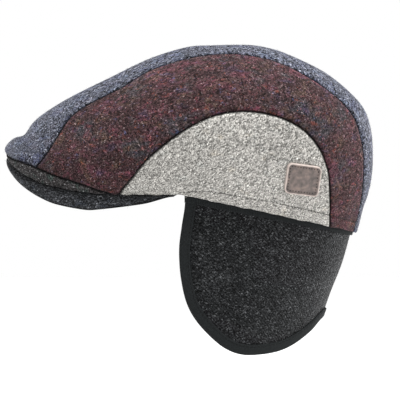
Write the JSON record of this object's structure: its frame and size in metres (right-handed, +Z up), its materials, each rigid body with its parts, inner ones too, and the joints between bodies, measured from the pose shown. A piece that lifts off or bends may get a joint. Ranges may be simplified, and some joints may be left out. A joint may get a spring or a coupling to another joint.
{
  "type": "earflap cap",
  "caption": "Flat cap of tweed panels in navy, burgundy and grey, with a charcoal peak and a bound wool flap for the ears and neck.",
  "frame": {"origin": "centre of the head opening, where a head holds the cap", "axes": "+Z up, the peak points to -X, the wearer's left side is at -Y"},
  "size_m": [0.2758, 0.197, 0.2309],
  "materials": {
    "navy_tweed": "matt woven wool",
    "burgundy_tweed": "matt woven wool",
    "grey_tweed": "matt woven wool",
    "charcoal_tweed": "matt woven wool",
    "flap_wool": "matt boiled wool",
    "black_tape": "matt ribbed tape",
    "label_leather": "satin leather"
  },
  "bodies": {
    "root": {"crown_centre_strip": "navy_tweed", "crown_side_left": "burgundy_tweed", "crown_side_right": "burgundy_tweed", "side_insert_left": "grey_tweed", "side_insert_right": "grey_tweed", "front_band": "charcoal_tweed", "peak": "charcoal_tweed", "earflap": "flap_wool", "earflap_binding": "black_tape", "earflap_top_tape": "black_tape", "label_patch": "label_leather"}
  },
  "joints": []
}
